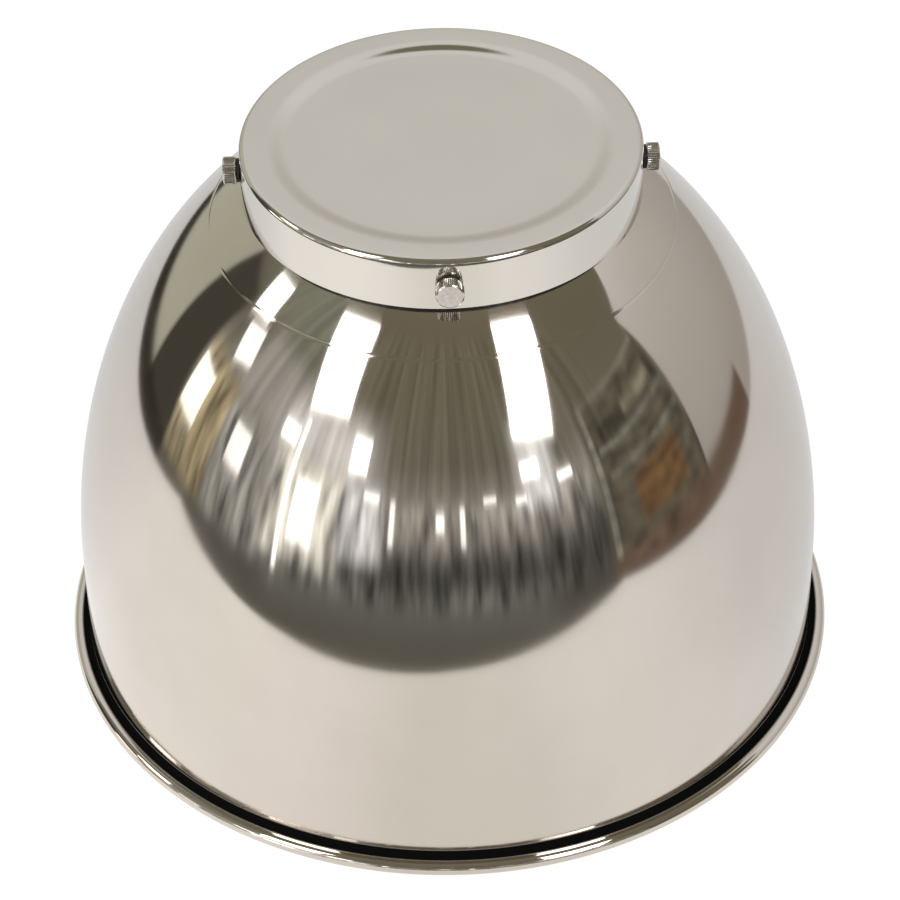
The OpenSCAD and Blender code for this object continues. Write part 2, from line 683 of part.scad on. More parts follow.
module bulb_insulator() color([0.05, 0.05, 0.06]) turned([[0, base_top - 1.5],
  [base_r - 3.5 - base_t - eps, base_top - 1.5], [base_r - 3.5 - base_t - eps, base_top + 0.4],
  [6, bulb_top - tip_h], [0, bulb_top - tip_h]]);

module bulb_tip() color([0.7, 0.7, 0.72]) turned([[0, bulb_top - tip_h], [tip_r, bulb_top - tip_h],
  [tip_r * 0.9, bulb_top - tip_h * 0.4], [tip_r * 0.6, bulb_top], [0, bulb_top]]);

module bulb_stem() color([0.8, 0.85, 0.85]) {
  foot = bulb_neck_z - 4;
  turned([[0, foot], [2.6, foot], [3.4, foot + 4], [4, base_z], [bulb_neck_r - glass_t - eps, base_z],
    [bulb_neck_r - glass_t - eps, base_z + 1.6], [0, base_z + 1.6]]);
}

module filament_leads() color([0.6, 0.6, 0.6]) for (s = [-1, 1]) {
  foot = bulb_neck_z - 4;
  swept(spline([[s * 1.4, 0, foot - 0.1], [s * 1.4, 0, foot - 5], [s * 6, 0, filament_z + 14],
    [s * filament_l / 2, 0, filament_z + 4], [s * filament_l / 2, 0, filament_z]], 4), 0.6, 8);
}

// Tungsten coil whose straight ends are crimped into the leads
module filament() color([0.35, 0.35, 0.35]) {
  reach = filament_l / 2;
  turns = 11;
  per_turn = 10;
  coil_r = 1.3;
  coil_l = filament_l - 4;
  coil = [for (i = [0 : turns * per_turn]) let (a = 360 * i / per_turn)
    [-coil_l / 2 + coil_l * i / turns / per_turn, coil_r * sin(a), filament_z + 1 - coil_r * cos(a)]];
  swept([[-reach, 0, coil[0][2]], each coil, [reach, 0, coil[0][2]]], 0.35, 6);
}

shade();
cap_gasket();
mounting_plate();
plate_rivets();
terminal_cap();
skirt_nuts();
gallery_screw(0);  // gallery_screw_1
gallery_screw(1);  // gallery_screw_2
gallery_screw(2);  // gallery_screw_3
gallery_screw(3);  // gallery_screw_4
screw_washer(0);  // screw_washer_1
screw_washer(1);  // screw_washer_2
screw_washer(2);  // screw_washer_3
screw_washer(3);  // screw_washer_4
cable_grommet();
lamp_holder();
screw_shell();
centre_contact();
holder_terminals();
holder_terminal_screws();
holder_screws();
holder_nuts();
lead_bushes();
terminal_block();
block_inserts();
block_clamp_screws();
block_screws();
block_nuts();
cord_clamp();
clamp_screws();
clamp_nuts();
earth_screw();
earth_washer();
earth_nut();
earth_tag();
live_lead();
neutral_lead();
earth_lead();
bulb_reflector();
bulb_lens();
bulb_base();
bulb_insulator();
bulb_tip();
bulb_stem();
filament_leads();
filament();
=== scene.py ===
"""A spun stainless heat lamp fixture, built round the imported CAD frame.

Sizes are in metres, in the frame's own axes: +Z is up, and the camera stands on the -Y side.
The smooth skins repeat the CAD's own profile curves, so they lie where the CAD nodes do.
"""
import json
import math

import bmesh
import bpy
from mathutils import Matrix, Vector


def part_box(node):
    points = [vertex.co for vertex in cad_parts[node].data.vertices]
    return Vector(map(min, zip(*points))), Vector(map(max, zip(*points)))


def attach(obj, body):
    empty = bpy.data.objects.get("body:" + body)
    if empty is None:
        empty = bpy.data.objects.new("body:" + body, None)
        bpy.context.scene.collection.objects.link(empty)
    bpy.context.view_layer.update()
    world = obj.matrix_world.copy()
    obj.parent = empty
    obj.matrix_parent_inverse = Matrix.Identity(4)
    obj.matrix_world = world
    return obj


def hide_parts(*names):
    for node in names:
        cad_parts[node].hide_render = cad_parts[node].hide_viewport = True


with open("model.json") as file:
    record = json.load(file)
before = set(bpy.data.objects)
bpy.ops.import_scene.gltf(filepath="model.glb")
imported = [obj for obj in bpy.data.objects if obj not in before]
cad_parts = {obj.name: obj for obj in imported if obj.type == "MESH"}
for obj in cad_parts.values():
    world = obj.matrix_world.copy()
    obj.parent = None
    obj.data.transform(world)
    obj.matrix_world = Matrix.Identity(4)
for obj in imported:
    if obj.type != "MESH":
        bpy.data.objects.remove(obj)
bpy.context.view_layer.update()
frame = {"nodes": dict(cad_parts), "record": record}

MM = 0.001
TURN = 2 * math.pi


# ---- Sizes, from the frame where it gives them ----

def top_of(node):
    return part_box(node)[1]


def foot_of(node):
    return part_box(node)[0]


def middle_of(node):
    return (top_of(node) + foot_of(node)) / 2


RIM_R = top_of("shade").x
NECK_TOP = top_of("shade").z
SHEET = 0.8 * MM
BEAD_R = 2.3 * MM
RIM_FLARE = 3.1 * MM
RIM_FILLET = 1.8 * MM
WALL_R = RIM_R - BEAD_R - RIM_FLARE
WALL_H = 36 * MM
NECK_R = 56.2 * MM
NECK_FILLET = 2 * MM
SHOULDER_H = foot_of("mounting_plate").z
SHOULDER_SLOPE = math.radians(33.5)
SHOULDER_PULL = 0.345
WALL_PULL = 0.334

CAP_R = top_of("terminal_cap").x
CAP_TOP = top_of("terminal_cap").z
SKIRT_Z = foot_of("terminal_cap").z
CAP_EDGE_R = 1.8 * MM
CAP_RING_W = 8 * MM
RECESS_SLOPE_W = 6.5 * MM
RECESS_DEPTH = 1.2 * MM

GALLERY = 4
SCREW_Z = middle_of("gallery_screw_1").z
SCREW_TIP = foot_of("gallery_screw_1").x
SCREW_END = top_of("gallery_screw_1").x
SCREW_HEAD_L = 4 * MM
HEAD_R = top_of("gallery_screw_1").z - SCREW_Z
SCREW_R = 2.5 * MM
SCREW_PITCH = 0.8 * MM
SCREW_HOLE_R = 2.75 * MM
KNURLS = 36

ENTRY_ANGLE = math.radians(135)
CABLE_R = 3.75 * MM
GROMMET_HOLE_R = 6 * MM
GROMMET_FLANGE_R = 7.2 * MM
NOTCH_COLUMNS = 5
NOTCH_Z = SCREW_Z - CABLE_R - 1.5 * MM
SHADE_COLUMNS = 336

PLATE_TOP = SHOULDER_H + 1.2 * MM
LEAD_R = 1.1 * MM

BULB_R = top_of("bulb_reflector").x
BULB_RIM_Z = foot_of("bulb_reflector").z
BULB_END_Z = foot_of("bulb_lens").z
BULB_NECK_TOP = top_of("bulb_reflector").z
BULB_NECK_R = 14.3 * MM
GLASS_T = 1.6 * MM
BASE_FOOT = foot_of("bulb_base").z
BASE_TOP = top_of("bulb_base").z
BASE_R = top_of("bulb_base").x
BASE_ROOT_R = 12.2 * MM
BASE_PITCH = 3.629 * MM
SHELL_FOOT = foot_of("screw_shell").z
SHELL_R = 14 * MM


# ---- Curves ----

def bezier(p, t):
    u = 1 - t
    return p[0] * u ** 3 + p[1] * 3 * u * u * t + p[2] * 3 * u * t * t + p[3] * t ** 3


def arc(centre, radius, start, end, steps):
    """Points on an arc, with angles in degrees."""
    x, y = centre
    angles = [math.radians(start + (end - start) * i / steps) for i in range(steps + 1)]
    return [Vector((x + radius * math.cos(a), y + radius * math.sin(a))) for a in angles]


def beside(path, distance):
    """The path moved to its right."""
    moved = []
    for i, p in enumerate(path):
        d = (path[min(i + 1, len(path) - 1)] - path[max(i - 1, 0)]).normalized()
        moved.append(p + Vector((d.y, -d.x)) * distance)
    return moved


def between(a, b, steps):
    """Points after a up to b, evenly spaced."""
    return [a + (b - a) * i / steps for i in range(1, steps + 1)]


def ease(u):
    return (1 - math.cos(math.pi * u)) / 2


# The fine line scribed round the shoulder, as a curve parameter, with its half width and depth
SCRIBE_AT = 0.118
SCRIBE_HALF = 0.0024
SCRIBE_DEPTH = 0.06 * MM
SCRIBE_ROWS = (-2, -1, -0.5, 0, 0.5, 1, 2)
DOME_ROWS = 72


def dome_points():
    """The dome's curve from the shoulder down to the straight wall, with the scribed line in it."""
    foot = Vector((NECK_R + NECK_FILLET * (1 - math.sin(SHOULDER_SLOPE)), SHOULDER_H))
    wall = Vector((WALL_R, WALL_H))
    span = (wall - foot).length
    along = Vector((math.cos(SHOULDER_SLOPE), -math.sin(SHOULDER_SLOPE)))
    curve = [foot, foot + along * (SHOULDER_PULL * span),
             wall + Vector((0, WALL_PULL * span)), wall]
    steps = [i / DOME_ROWS for i in range(1, DOME_ROWS + 1)]
    steps = [t for t in steps if abs(t - SCRIBE_AT) > 3 * SCRIBE_HALF]
    steps = sorted(steps + [SCRIBE_AT + SCRIBE_HALF * k for k in SCRIBE_ROWS])
    points = []
    for t in steps:
        p = bezier(curve, t)
        d = (bezier(curve, t + 0.001) - p).normalized()
        depth = SCRIBE_DEPTH * max(0, 1 - abs(t - SCRIBE_AT) / SCRIBE_HALF)
        points.append(p + Vector((d.y, -d.x)) * depth)
    return points


def shade_path():
    """Outer face in (radius, height), from the neck's top to the end of the rolled bead."""
    fillet_z = 2 * BEAD_R + RIM_FILLET
    neck_fillet_z = SHOULDER_H + NECK_FILLET * math.cos(SHOULDER_SLOPE)
    shoulder = 270 - math.degrees(SHOULDER_SLOPE)
    path = [Vector((NECK_R, NECK_TOP)), Vector((NECK_R, NOTCH_Z))]
    path += arc((NECK_R + NECK_FILLET, neck_fillet_z), NECK_FILLET, 180, shoulder, 10)
    path += dome_points()
    path += between(path[-1], Vector((WALL_R, fillet_z)), 5)
    path += arc((WALL_R + RIM_FILLET, fillet_z), RIM_FILLET, 180, 270, 8)[1:]
    path += arc((RIM_R - BEAD_R, BEAD_R), BEAD_R, 90, -165, 34)[1:]
    return path


def cap_path():
    """Outer face of the cap, from its middle to the skirt's edge."""
    recess_r = CAP_R - CAP_RING_W - RECESS_SLOPE_W
    floor_z = CAP_TOP - RECESS_DEPTH
    path = [Vector((recess_r * i / 6, floor_z)) for i in range(6)]
    path += [Vector((recess_r + RECESS_SLOPE_W * i / 16, floor_z + RECESS_DEPTH * ease(i / 16)))
             for i in range(17)]
    path += between(path[-1], Vector((CAP_R - CAP_EDGE_R, CAP_TOP)), 3)[:-1]
    path += arc((CAP_R - CAP_EDGE_R, CAP_TOP - CAP_EDGE_R), CAP_EDGE_R, 90, 0, 14)
    path += between(path[-1], Vector((CAP_R, SKIRT_Z)), 10)
    return path


def spline(points, steps):
    """Catmull-Rom curve through the points, as in the CAD."""
    out = []
    for i in range(len(points) - 1):
        a, b = points[max(i - 1, 0)], points[i]
        c, d = points[i + 1], points[min(i + 2, len(points) - 1)]
        for s in range(steps):
            t = s / steps
            out.append(0.5 * (2 * b + (c - a) * t + (2 * a - 5 * b + 4 * c - d) * t * t
                              + (3 * b - a - 3 * c + d) * t ** 3))
    return out + [points[-1]]


# ---- Meshes ----

def mesh_object(name, verts, faces, sharp=35):
    mesh = bpy.data.meshes.new(name)
    mesh.from_pydata([tuple(v) for v in verts], [], faces)
    mesh.validate()
    mesh.shade_smooth()
    mesh.set_sharp_from_angle(angle=math.radians(sharp))
    o = bpy.data.objects.new(name, mesh)
    bpy.context.scene.collection.objects.link(o)
    return o


def spun_faces(rows, columns, first=0, closed=True, skip=None):
    """Rows of (radius, height) turned about Z: a radius may be a number or a function of the angle.
    A row on the axis becomes one vertex. skip(row, column) leaves a face out."""
    verts, rings = [], []
    for radius, height in rows:
        if not callable(radius) and radius < 1e-7:
            rings.append([first + len(verts)] * columns)
            verts.append(Vector((0, 0, height)))
            continue
        rings.append(list(range(first + len(verts), first + len(verts) + columns)))
        for k in range(columns):
            a = TURN * k / columns
            r = radius(a) if callable(radius) else radius
            verts.append(Vector((r * math.cos(a), r * math.sin(a), height)))
    faces = []
    for i in range(len(rows) if closed else len(rows) - 1):
        upper, lower = rings[i], rings[(i + 1) % len(rows)]
        for k in range(columns):
            if skip and skip(i, k):
                continue
            j = (k + 1) % columns
            face = [upper[k], upper[j], lower[j], lower[k]]
            face = [v for m, v in enumerate(face) if v not in face[:m]]
            if len(face) > 2:
                faces.append(face)
    return verts, faces


def spun(name, rows, columns=240, sharp=35, closed=True, place=None):
    verts, faces = spun_faces(rows, columns, closed=closed)
    if place:
        verts = [place @ v for v in verts]
    return mesh_object(name, verts, faces, sharp)


def face_out(o):
    """Turns every face of a closed mesh outwards."""
    bm = bmesh.new()
    bm.from_mesh(o.data)
    bmesh.ops.recalc_face_normals(bm, faces=bm.faces)
    bm.to_mesh(o.data)
    bm.free()
    return o


def radial(angle, z):
    """Takes +Z to the outward direction at this angle, at height z, with local X pointing down."""
    tip = Matrix.Rotation(math.pi / 2, 4, "Y")
    return Matrix.Rotation(angle, 4, "Z") @ Matrix.Translation((0, 0, z)) @ tip


def thread_radius(root, crest, pitch, z, share=0.5):
    """Radius at height z as a function of the angle, for a rounded right-hand thread."""
    def radius(a):
        phase = (z / pitch - a / TURN) % 1
        return root + (crest - root) * (0.5 + 0.5 * math.cos(TURN * phase)) ** share
    return radius


def thread_rows(root, crest, pitch, low, high, per_turn=10, share=0.5):
    steps = max(2, round((high - low) / pitch * per_turn))
    heights = [low + (high - low) * i / steps for i in range(steps + 1)]
    return [(thread_radius(root, crest, pitch, z, share), z) for z in heights]


def stand_for(o, body, slot, *nodes):
    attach(o, body)
    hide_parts(*nodes)
    slot_of[o.name] = slot
    return o


slot_of = {}


# ---- Shade ----

def make_shade():
    outer = shade_path()
    rows = [tuple(p) for p in outer + beside(outer, SHEET)[::-1]]
    last = len(rows) - 1
    middle = round(ENTRY_ANGLE / TURN * SHADE_COLUMNS)
    first, end = middle - NOTCH_COLUMNS, middle + NOTCH_COLUMNS
    verts, faces = spun_faces(rows, SHADE_COLUMNS,
                              skip=lambda i, k: i in (0, last - 1, last) and first <= k < end)

    def at(row, column):
        return row * SHADE_COLUMNS + column
    for k in range(first, end):
        faces.append([at(1, k), at(1, k + 1), at(last - 1, k + 1), at(last - 1, k)])
    faces.append([at(0, first), at(1, first), at(last - 1, first), at(last, first)])
    faces.append([at(0, end), at(last, end), at(last - 1, end), at(1, end)])
    o = face_out(mesh_object("shade_skin", verts, faces))
    return stand_for(o, "shade", "shade_steel", "shade")


# ---- Cap ----

def cylinder_cutter(radius, angle, z, start, length, columns=64):
    rows = [(0, start + length), (radius, start + length), (radius, start), (0, start)]
    return face_out(spun("cutter", rows, columns, closed=False, place=radial(angle, z)))


def cut(o, cutters):
    for c in cutters:
        m = o.modifiers.new("cut", "BOOLEAN")
        m.object = c
        m.solver = "EXACT"
    bpy.context.view_layer.update()
    evaluated = o.evaluated_get(bpy.context.evaluated_depsgraph_get())
    cut_mesh = bpy.data.meshes.new_from_object(evaluated)
    o.modifiers.clear()
    o.data = cut_mesh
    for c in cutters:
        bpy.data.objects.remove(c)
    return o


def smooth_skirt(o):
    """Gives the upright skirt its true radial normals, which the cut holes would disturb."""
    mesh = o.data
    skirt_top = CAP_TOP - CAP_EDGE_R
    normals = [Vector(n.vector) for n in mesh.corner_normals]
    for face in mesh.polygons:
        c = face.center
        outwards = face.normal.dot(Vector((c.x, c.y, 0)).normalized())
        if abs(outwards) < 0.97 or c.z > skirt_top or c.xy.length < CAP_R - 2 * SHEET:
            continue
        side = 1 if outwards > 0 else -1
        for i in face.loop_indices:
            v = mesh.vertices[mesh.loops[i].vertex_index].co
            if v.z < skirt_top - 1e-6:
                normals[i] = Vector((v.x, v.y, 0)).normalized() * side
    mesh.normals_split_custom_set([tuple(n) for n in normals])


def make_cap():
    outer = cap_path()
    inner = beside(outer, SHEET)[::-1]
    inner[-1].x = 0
    cap = face_out(spun("cap_skin", [tuple(p) for p in outer + inner], SHADE_COLUMNS))
    through = CAP_R - 3 * SHEET
    holes = [cylinder_cutter(SCREW_HOLE_R, TURN * i / GALLERY, SCREW_Z, through, 5 * SHEET)
             for i in range(GALLERY)]
    holes.append(cylinder_cutter(GROMMET_HOLE_R, ENTRY_ANGLE, SCREW_Z, through, 5 * SHEET))
    cut(cap, holes)
    smooth_skirt(cap)
    return stand_for(cap, "terminal_cap", "cap_steel", "terminal_cap")


# ---- Gallery screws ----

def knurled(radius, depth=0.3 * MM):
    """Radius as a function of the angle: straight V grooves round the head."""
    def at(a):
        tooth = (a / TURN * KNURLS) % 1
        return radius - depth * (1 - abs(2 * tooth - 1)) ** 1.4
    return at


def make_screw(i):
    head = SCREW_END - SCREW_HEAD_L
    edge = 0.35 * MM
    rows = [(0, SCREW_TIP), (SCREW_R - 0.6 * MM, SCREW_TIP)]
    rows += [(SCREW_R - 0.25 * MM, SCREW_TIP + edge)]
    rows += thread_rows(SCREW_R - 0.42 * MM, SCREW_R, SCREW_PITCH,
                        SCREW_TIP + 0.5 * MM, head - 1.1 * MM, share=0.7)
    rows += [(SCREW_R - 0.3 * MM, head - 0.9 * MM), (SCREW_R - 0.3 * MM, head)]
    rows += [(HEAD_R - 0.5 * MM, head), (HEAD_R - 0.32 * MM, head + 0.1 * MM)]
    rows += [(knurled(HEAD_R, 0.1 * MM), head + edge), (knurled(HEAD_R), head + edge + 0.12 * MM)]
    rows += [(knurled(HEAD_R), SCREW_END - edge - 0.12 * MM)]
    rows += [(knurled(HEAD_R, 0.1 * MM), SCREW_END - edge)]
    rows += [(HEAD_R - 0.3 * MM, SCREW_END - 0.12 * MM), (HEAD_R - 0.48 * MM, SCREW_END)]
    rows += [(HEAD_R * 0.6, SCREW_END), (0, SCREW_END)]
    o = spun(f"gallery_screw_{i + 1}_turned", rows, KNURLS * 6, sharp=30, closed=False,
             place=radial(TURN * i / GALLERY, SCREW_Z))
    face_out(o)
    name = f"gallery_screw_{i + 1}"
    return stand_for(o, name, "screw_steel", name)


# ---- Grommet ----

def make_grommet():
    """Rubber grommet whose outer flange lies against the round skirt."""
    inside = math.sqrt((CAP_R - SHEET) ** 2 - GROMMET_FLANGE_R ** 2) - 0.1 * MM
    lip = GROMMET_FLANGE_R - 0.3 * MM
    rows = [(CABLE_R, CAP_R + 0.8 * MM), (CABLE_R + 0.4 * MM, CAP_R + 1.2 * MM)]
    rows += [(lip - 1 * MM, CAP_R + 1.2 * MM)]
    rows += arc((lip - 1 * MM, CAP_R + 0.2 * MM), 1 * MM, 90, 0, 8)[1:]
    rows += [(lip, CAP_R + 0.06 * MM), (GROMMET_HOLE_R - 0.05 * MM, CAP_R + 0.06 * MM)]
    rows += [(GROMMET_HOLE_R - 0.05 * MM, inside), (GROMMET_FLANGE_R, inside)]
    rows += arc((GROMMET_FLANGE_R - 1 * MM, inside - 1 * MM), 1 * MM, 0, -90, 6)[1:]
    rows += [(CABLE_R, inside - 2 * MM)]
    verts, faces = spun_faces([tuple(r) for r in rows], 96)
    for v in verts:
        if v.z > CAP_R:
            v.z -= CAP_R - math.sqrt(CAP_R ** 2 - v.y ** 2)
    place = radial(ENTRY_ANGLE, SCREW_Z)
    o = face_out(mesh_object("cable_grommet_moulded", [place @ v for v in verts], faces))
    return stand_for(o, "terminal_cap", "black_rubber", "cable_grommet")


# ---- Gasket ----

def make_gasket():
    """Silicone ring squeezed under the skirt, with its outer face drawn in towards the shade."""
    lo, hi = foot_of("cap_gasket"), top_of("cap_gasket")
    outer, inner = hi.x, hi.x - 2 * MM
    slope = math.tan(SHOULDER_SLOPE)

    def seat(r):
        return lo.z + (outer - r) * slope + 0.02 * MM
    rows = [(outer - 0.15 * MM, hi.z), (outer - 0.1 * MM, hi.z - 0.25 * MM),
            (outer - 0.5 * MM, hi.z - 0.7 * MM), (outer - 0.95 * MM, hi.z - 1.0 * MM),
            (outer - 1.15 * MM, seat(outer - 1.15 * MM)), (inner, seat(inner)), (inner, hi.z)]
    o = face_out(spun("cap_gasket_ring", rows, SHADE_COLUMNS, sharp=50))
    return stand_for(o, "shade", "black_silicone", "cap_gasket")


# ---- Leads, on the CAD's own routes ----

def tube(name, points, radius, sides=20):
    """Round wire along the points, with flat ends."""
    verts = []
    side = None
    for i, p in enumerate(points):
        d = (points[min(i + 1, len(points) - 1)] - points[max(i - 1, 0)]).normalized()
        side = (side - d * side.dot(d)).normalized() if side else d.orthogonal().normalized()
        other = d.cross(side)
        for k in range(sides):
            a = TURN * k / sides
            verts.append(p + (side * math.cos(a) + other * math.sin(a)) * radius)
    faces = []
    for i in range(len(points) - 1):
        for k in range(sides):
            j = (k + 1) % sides
            faces.append([i * sides + k, i * sides + j, (i + 1) * sides + j, (i + 1) * sides + k])
    last = (len(points) - 1) * sides
    faces += [list(range(sides)), [last + k for k in range(sides)]]
    return face_out(mesh_object(name, verts, faces))


def make_leads():
    block_lo, block_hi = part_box("terminal_block")
    post_x = 17.825 * MM
    pole_x = 11 * MM
    post_in = top_of("holder_terminals").z - 4 * MM
    lead_z = PLATE_TOP + 4.4 * MM
    for side, name, slot in ((-1, "live_lead", "brown_insulation"),
                             (1, "neutral_lead", "blue_insulation")):
        x0, x1 = side * pole_x, side * post_x
        route = [(x0, block_hi.y - 3 * MM, lead_z), (x0, block_hi.y + 2 * MM, lead_z),
                 (x0 + side * 2 * MM, block_hi.y + 9 * MM, lead_z + 1.4 * MM),
                 ((x0 + x1) / 2 + side * 3 * MM, -9 * MM, PLATE_TOP + 7 * MM),
                 (x1, -2.6 * MM, PLATE_TOP + 6.8 * MM), (x1, 0, PLATE_TOP + 4 * MM),
                 (x1, 0, PLATE_TOP + 1 * MM), (x1, 0, post_in)]
        o = tube(name + "_wire", spline([Vector(p) for p in route], 10), LEAD_R)
        stand_for(o, "shade", slot, name)
    tag = middle_of("earth_screw")
    face, end = block_lo.y, block_hi.x
    tail = Vector((tag.x, tag.y - 12 * MM, PLATE_TOP + 0.8 * MM + LEAD_R + 0.3 * MM))
    route = [Vector((0, face + 3 * MM, lead_z)), Vector((0, face - 1.6 * MM, lead_z)),
             Vector((4 * MM, face - 4.4 * MM, lead_z)),
             Vector((end - 4 * MM, face - 4.4 * MM, lead_z)),
             Vector((end + 4.5 * MM, face + 0.5 * MM, lead_z)),
             Vector((end + 11 * MM, (block_lo.y + block_hi.y) / 2 + 5 * MM, lead_z)),
             tail + Vector((0, -7 * MM, 0.4 * MM)), tail - Vector((0, 1.5 * MM, 0)),
             tail + Vector((0, 2 * MM, 0))]
    o = tube("earth_lead_wire", spline(route, 10), LEAD_R)
    stand_for(o, "shade", "green_insulation", "earth_lead")


# ---- Bulb and shell ----

def make_bulb_glass():
    start = Vector((BULB_NECK_R, BASE_FOOT - 8 * MM))
    end = Vector((BULB_R, BULB_RIM_Z + 3.2 * MM))
    bowl = [start, start - Vector((0, 9 * MM)), (start + end) / 2 + Vector((14 * MM, 12 * MM)), end]
    path = [Vector((BULB_NECK_R, BULB_NECK_TOP)), Vector((BULB_NECK_R, start.y + 2 * MM))]
    path += [bezier(bowl, i / 48) for i in range(49)]
    path += [Vector((BULB_R, BULB_RIM_Z + 0.8 * MM)), Vector((BULB_R - 0.3 * MM, BULB_RIM_Z))]
    rows = [tuple(p) for p in path + beside(path, GLASS_T)[::-1]]
    o = face_out(spun("bulb_glass", rows, 240))
    return stand_for(o, "bulb", "silvered_glass", "bulb_reflector")


def make_bulb_front():
    """Ruby front glass: a shallow dome pressed with rings of small lenses."""
    edge = 4 * MM
    chord = BULB_R - 0.8 * MM
    rise = BULB_RIM_Z - BULB_END_Z - edge
    ball = (chord ** 2 + rise ** 2) / 2 / rise
    half = math.degrees(math.asin(chord / ball))
    centre = (0, BULB_END_Z + ball)
    rings = 13
    lens_depth = 0.55 * MM
    columns, steps = 312, 104
    outside = arc(centre, ball, -90, -90 + half, steps)
    verts, faces = spun_faces([tuple(p) for p in outside], columns, closed=False)
    for v in verts:
        share = v.xy.length / chord * rings
        ring = int(share)
        if 0.35 < share < rings - 0.6:
            count = max(6, 6 * ring)
            a = math.atan2(v.y, v.x)
            cup = abs(math.sin(a * count / 2)) * abs(math.sin(math.pi * share))
            v.z += lens_depth * (1 - cup)
    last = len(verts) - columns
    side = [(BULB_R, BULB_RIM_Z - edge + 1.2 * MM), (BULB_R, BULB_RIM_Z - 0.4 * MM),
            (BULB_R - 0.35 * MM, BULB_RIM_Z - 0.05 * MM), (BULB_R - 3 * MM, BULB_RIM_Z - 0.05 * MM)]
    inside = arc(centre, ball - 2.2 * MM, -90 + half - 1.6, -90, 40)
    rows = [*side, *[tuple(p) for p in inside[:-1]], (0, inside[-1].y)]
    more, more_faces = spun_faces(rows, columns, first=len(verts), closed=False)
    for k in range(columns):
        j = (k + 1) % columns
        faces.append([last + k, last + j, len(verts) + j, len(verts) + k])
    o = face_out(mesh_object("bulb_front", verts + more, faces + more_faces, sharp=50))
    return stand_for(o, "bulb", "ruby_glass", "bulb_lens")


def make_bulb_base():
    """Rolled screw base, with its thread running out at the shoulder."""
    low, high = BASE_FOOT + 2.4 * MM, BASE_TOP - 2.6 * MM
    rows = [(BASE_R - 0.4 * MM, BASE_FOOT), (BASE_R, BASE_FOOT), (BASE_R, BASE_FOOT + 1 * MM),
            (BASE_ROOT_R + 0.1 * MM, low - 0.3 * MM)]
    rows += thread_rows(BASE_ROOT_R, BASE_R, BASE_PITCH, low, high, per_turn=14, share=0.8)
    rows += [(BASE_ROOT_R, high + 0.3 * MM), (BASE_ROOT_R - 0.6 * MM, high + 0.9 * MM)]
    rows += [(BASE_R - 3.5 * MM, BASE_TOP), (BASE_R - 3.9 * MM, BASE_TOP),
             (BASE_ROOT_R - 1.1 * MM, high + 0.5 * MM)]
    o = face_out(spun("bulb_base_rolled", rows, 144, sharp=40))
    return stand_for(o, "bulb", "nickel_brass", "bulb_base")


def make_shell():
    """Screw shell rolled to the base's thread, with the tab that turns out under its terminal."""
    gap, sheet = 0.32 * MM, 0.45 * MM
    top = middle_of("lamp_holder").z + 4.05 * MM
    low, high = SHELL_FOOT + 1.6 * MM, top - 1.2 * MM
    inner, outer = (thread_rows(BASE_ROOT_R + out, BASE_R + out, BASE_PITCH, low, high,
                                per_turn=14, share=0.8) for out in (gap, gap + sheet))
    rows = [(SHELL_R - 0.5 * MM, SHELL_FOOT), *inner, (SHELL_R - 0.5 * MM, top), (SHELL_R, top),
            *outer[::-1], (SHELL_R, SHELL_FOOT)]
    verts, faces = spun_faces(rows, 144)
    tab_lo, tab_hi = SHELL_R - 0.6 * MM, top_of("screw_shell").x
    foot, up = top - 3.5 * MM, top_of("screw_shell").z
    bend = [(tab_lo, foot), (tab_lo, up), (tab_hi, up), (tab_hi, up - 0.6 * MM),
            (SHELL_R, up - 0.6 * MM), (SHELL_R, foot)]
    half = 3 * MM
    n = len(verts)
    verts += [Vector((x, -half, z)) for x, z in bend] + [Vector((x, half, z)) for x, z in bend]
    count = len(bend)
    faces += [[n + i, n + (i + 1) % count, n + count + (i + 1) % count, n + count + i]
              for i in range(count)]
    faces += [[n + 0, n + 1, n + 4, n + 5], [n + 1, n + 2, n + 3, n + 4]]
    faces += [[n + count + i for i in ids] for ids in ((5, 4, 1, 0), (4, 3, 2, 1))]
    o = face_out(mesh_object("screw_shell_rolled", verts, faces, sharp=40))
    return stand_for(o, "shade", "nickel_brass", "screw_shell")


# ---- Materials ----

